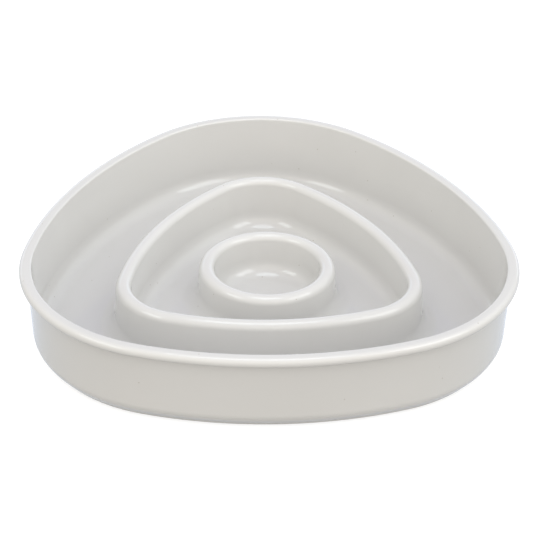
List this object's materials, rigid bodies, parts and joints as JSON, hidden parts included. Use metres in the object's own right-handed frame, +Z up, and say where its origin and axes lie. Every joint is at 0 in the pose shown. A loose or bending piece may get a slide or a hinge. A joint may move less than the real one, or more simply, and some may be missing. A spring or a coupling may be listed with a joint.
{
  "type": "slow feeder bowl",
  "caption": "Low pet bowl with a rounded triangular plan, a beaded rim, and a triangular ridge round a small central ring on its floor to slow eating.",
  "frame": {"origin": "middle of the bowl's length and width, on the surface that it stands on", "axes": "+Z up, +Y towards the corner at the back, +X to the right when that corner points away"},
  "size_m": [0.2852, 0.2804, 0.051],
  "materials": {
    "moulding": "even gloss, off-white",
    "rubber_foot": "matte, grey"
  },
  "bodies": {
    "root": {"outer_wall": "moulding", "base_rim": "moulding", "floor": "moulding", "ridge": "moulding", "center_ring": "moulding", "foot_back": "rubber_foot", "foot_left": "rubber_foot", "foot_right": "rubber_foot"}
  },
  "joints": []
}
